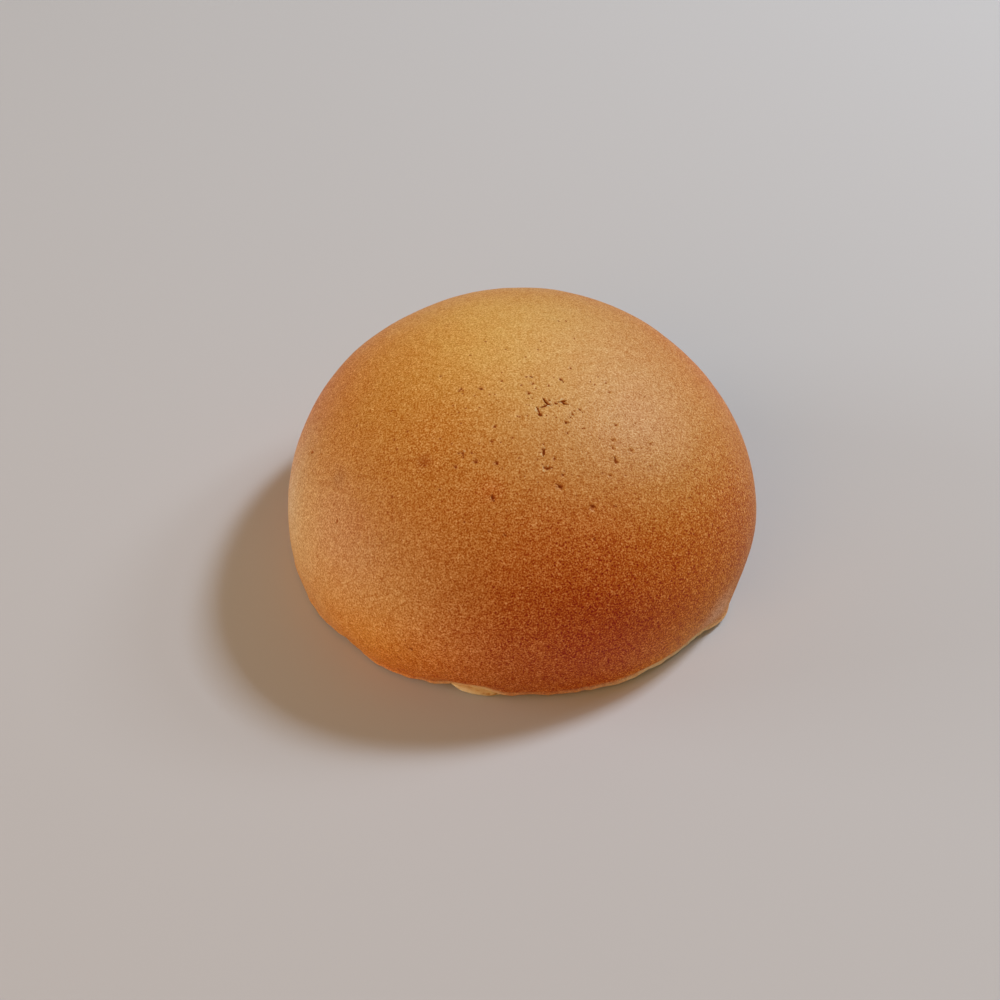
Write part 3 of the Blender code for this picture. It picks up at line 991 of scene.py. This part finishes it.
def scrap_finish(looks):
    """Pale torn crumb with fine brown fibres."""
    material, tree, shader, place = start_finish("torn_crumb", *SCRAP_FINISH)
    drawn = add_node(tree, "Mapping", {"Vector": place, "Scale": FIBRE_SCALE}).outputs["Vector"]
    fibres = mottle(tree, drawn, *FIBRES)
    colour = blend(tree, ranged(tree, fibres, *FIBRE_RANGE), rgba(looks.crumb), rgba(looks.fibre))
    tree.links.new(colour, shader.inputs["Base Color"])
    emboss(tree, shader, fibres, SCRAP_BUMP)
    return material


# ---------- stage

FLOOR_RADIUS = 0.95  # metres
FLOOR_SIDES = 96

# The square lamps: direction and elevation in degrees, and size in metres
LAMPS = {
    "key": (38, 48, 0.26),
    "second": (30, 35, 0.30),
    "left_screen": (180, 6, 0.8),
    "front_screen": (235, 30, 1.2),
}
LAMP_DISTANCE = 1.6  # metres
LAMP_TARGET = (0.0, 0.0, 0.03)

CAMERA_PLACE = (-5.84 * MM, -270.40 * MM, 252.82 * MM)
CAMERA_FORWARD = (0.00198, 0.74367, -0.66854)
CAMERA_RIGHT = (0.99970, 0.01498, 0.01962)
CAMERA_LENS = 54.0  # mm, on a 36 mm sensor
CAMERA_CLIP = 0.01  # metres


def add_floor(settings):
    """A wide disc under the bun: a ring of places at one radius, in one face."""
    angle = np.arange(FLOOR_SIDES) * 2.0 * math.pi / FLOOR_SIDES
    ring = np.stack((np.cos(angle), np.sin(angle), 0.0 * angle), axis=-1) * FLOOR_RADIUS
    mesh = bpy.data.meshes.new("floor")
    mesh.from_pydata(ring.tolist(), [], [list(range(FLOOR_SIDES))])
    material, shader = new_material("floor", *FLOOR_FINISH)
    shader.inputs["Base Color"].default_value = rgba(settings.floor)
    mesh.materials.append(material)
    floor = add_object("floor", mesh)


def add_light(name, power, colour=(1.0, 1.0, 1.0)):
    """A square lamp that looks at the bun from its direction and elevation."""
    direction, elevation, size = LAMPS[name]
    lamp = bpy.data.lights.new(name, "AREA")
    lamp.energy = power
    lamp.color = colour
    lamp.size = size
    turn = math.radians(direction)
    rise = math.radians(elevation)
    away = Vector((math.cos(rise) * math.cos(turn), math.cos(rise) * math.sin(turn), math.sin(rise)))
    light = add_object(name, lamp)
    light.location = away * LAMP_DISTANCE + Vector(LAMP_TARGET)
    light.rotation_euler = away.to_track_quat("Z", "Y").to_euler()


def add_world(settings):
    """Even warm light from all round, before a plain pale backdrop."""
    world = bpy.data.worlds.new("studio")
    world.use_nodes = True
    tree = world.node_tree
    light = tree.nodes["Background"]
    light.inputs["Color"].default_value = rgba(settings.warmth)
    light.inputs["Strength"].default_value = settings.fill
    backdrop = add_node(tree, "Background", {"Color": rgba(settings.backdrop), "Strength": 1.0})
    seen = add_node(tree, "LightPath").outputs["Is Camera Ray"]
    mixed = add_node(tree, "MixShader", {0: seen, 1: light.outputs[0], 2: backdrop.outputs[0]})
    tree.links.new(mixed.outputs[0], tree.nodes["World Output"].inputs["Surface"])
    bpy.context.scene.world = world


def add_camera():
    """The camera, from its place and its forward and right directions."""
    forward = Vector(CAMERA_FORWARD).normalized()
    right = Vector(CAMERA_RIGHT)
    right = (right - forward * right.dot(forward)).normalized()
    up = right.cross(forward)
    turn = Matrix((right, up, -forward)).transposed()
    lens = bpy.data.cameras.new("camera")
    lens.lens = CAMERA_LENS
    lens.clip_start = CAMERA_CLIP
    camera = add_object("camera", lens)
    camera.matrix_world = Matrix.Translation(CAMERA_PLACE) @ turn.to_4x4()
    bpy.context.scene.camera = camera


# ---------- operators


class BUN_OT_crust(bpy.types.Operator):
    """Builds the domed, finely cracked crust"""

    bl_idname = "bun.crust"
    bl_label = "Crust"

    def execute(self, context):
        points, pits, edge, lip = crust_points(context.scene.bun_form)
        mesh = closed_mesh("bun_crust", points, points[0].mean(axis=0), (*SEAT_SHIFT, INNER_PEAK))
        set_attribute(mesh, "pits", pits)
        set_attribute(mesh, "edge", edge)
        set_attribute(mesh, "lip", lip)
        add_piece(mesh, crust_finish(context.scene.bun_looks))
        return {"FINISHED"}


class BUN_OT_base(bpy.types.Operator):
    """Builds the pale base under the crust, with its flat sole"""

    bl_idname = "bun.base"
    bl_label = "Base"

    def execute(self, context):
        points, pores, sole = base_points(context.scene.bun_form)
        mesh = closed_mesh("bun_base", points, (*SEAT_SHIFT, BASE_PEAK), points[-1].mean(axis=0))
        set_attribute(mesh, "pores", pores)
        set_attribute(mesh, "sole", sole)
        add_piece(mesh, base_finish(context.scene.bun_looks))
        return {"FINISHED"}


class BUN_OT_scrap(bpy.types.Operator):
    """Builds the torn scrap of pale crumb under the chip in the crust's edge"""

    bl_idname = "bun.scrap"
    bl_label = "Scrap"

    def execute(self, context):
        points, (start, end) = scrap_points()
        add_piece(closed_mesh("pale_scrap", points, start, end), scrap_finish(context.scene.bun_looks))
        return {"FINISHED"}


class BUN_OT_stage(bpy.types.Operator):
    """Sets the floor, the light and the camera"""

    bl_idname = "bun.stage"
    bl_label = "Stage"

    def execute(self, context):
        settings = context.scene.bun_stage
        add_floor(settings)
        add_light("key", settings.key, settings.daylight)
        add_light("second", settings.second)
        add_light("left_screen", settings.left_screen)
        add_light("front_screen", settings.front_screen, settings.glow)
        add_world(settings)
        add_camera()
        context.scene.view_settings.view_transform = "Standard"
        return {"FINISHED"}


# ---------- panel and registration


class BUN_PT_panel(bpy.types.Panel):
    """Lists the bun's pieces and settings"""

    bl_idname = "BUN_PT_panel"
    bl_label = "Coffee bun"
    bl_space_type = "VIEW_3D"
    bl_region_type = "UI"
    bl_category = "Bun"

    def draw(self, context):
        for settings in (context.scene.bun_form, context.scene.bun_looks, context.scene.bun_stage):
            for name in settings.__annotations__:
                self.layout.prop(settings, name)
        for operator in STEPS:
            self.layout.operator(operator.bl_idname)


STEPS = (BUN_OT_crust, BUN_OT_base, BUN_OT_scrap, BUN_OT_stage)
CLASSES = (BunForm, BunLooks, BunStage, *STEPS, BUN_PT_panel)


def register():
    for item in CLASSES:
        bpy.utils.register_class(item)
    bpy.types.Scene.bun_form = PointerProperty(type=BunForm)
    bpy.types.Scene.bun_looks = PointerProperty(type=BunLooks)
    bpy.types.Scene.bun_stage = PointerProperty(type=BunStage)


def unregister():
    del bpy.types.Scene.bun_stage
    del bpy.types.Scene.bun_looks
    del bpy.types.Scene.bun_form
    for item in reversed(CLASSES):
        bpy.utils.unregister_class(item)


def main():
    """Registers the classes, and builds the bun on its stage."""
    register()
    bpy.ops.bun.crust()
    bpy.ops.bun.base()
    bpy.ops.bun.scrap()
    bpy.ops.bun.stage()


if __name__ == "__main__":
    main()
